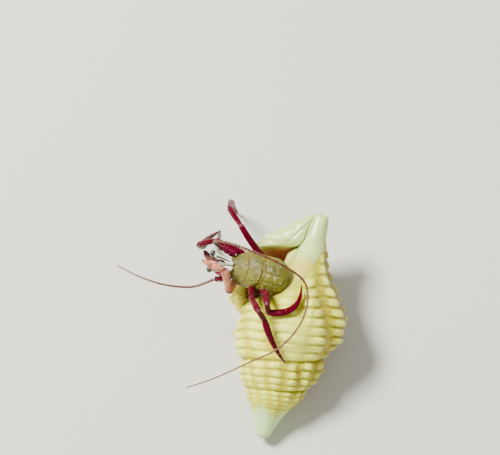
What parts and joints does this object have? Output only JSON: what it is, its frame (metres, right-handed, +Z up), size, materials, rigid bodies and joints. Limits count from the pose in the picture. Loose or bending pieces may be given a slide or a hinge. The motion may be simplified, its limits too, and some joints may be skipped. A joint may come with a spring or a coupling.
{
  "type": "hermit crab in a snail shell",
  "caption": "Small hermit crab reaching out of a ribbed, high-spired sea snail shell that lies on its back, with crimson legs, a small pink claw, stalked eyes and long feelers.",
  "frame": {"origin": "middle of the object's bounding box, on the floor it rests on", "axes": "+Z up from the floor; the shell's spire points towards -Y and its siphonal canal towards +Y; the crab reaches out towards -X"},
  "size_m": [0.0286, 0.0306, 0.0173],
  "materials": {
    "shell": "chalky ribbed snail shell, glossy and white round the mouth",
    "flesh": "soft, moist, slightly see-through skin",
    "shield": "thin olive carapace plate",
    "armour": "smooth dark crimson cuticle of legs and arms",
    "claw": "finely grained cuticle of the claws, crimson on the larger one and pink on the smaller one",
    "eyestalk": "pale cuticle with dark stripes",
    "eye": "dark glossy cornea",
    "feeler": "dark red-brown flexible feeler"
  },
  "bodies": {
    "root": {"abdomen": "flesh", "antenna_base_left": "armour", "antenna_base_right": "armour", "antenna_left": "feeler", "antenna_right": "feeler", "antennule_left": "feeler", "antennule_right": "feeler", "claw_left_carpus": "armour", "claw_left_finger": "claw", "claw_left_merus": "armour", "claw_left_palm": "claw", "claw_right_carpus": "armour", "claw_right_finger": "claw", "claw_right_merus": "armour", "claw_right_palm": "claw", "eye_left": "eye", "eye_right": "eye", "eyestalk_left": "eyestalk", "eyestalk_right": "eyestalk", "leg_left_front_carpus": "armour", "leg_left_front_dactylus": "armour", "leg_left_front_merus": "armour", "leg_left_front_propodus": "armour", "leg_left_rear_carpus": "armour", "leg_left_rear_dactylus": "armour", "leg_left_rear_merus": "armour", "leg_left_rear_propodus": "armour", "leg_right_front_carpus": "armour", "leg_right_front_dactylus": "armour", "leg_right_front_merus": "armour", "leg_right_front_propodus": "armour", "leg_right_rear_carpus": "armour", "leg_right_rear_dactylus": "armour", "leg_right_rear_merus": "armour", "leg_right_rear_propodus": "armour", "mouthpart_left": "claw", "mouthpart_right": "claw", "shell": "shell", "shield": "shield", "thorax": "flesh"}
  },
  "joints": []
}
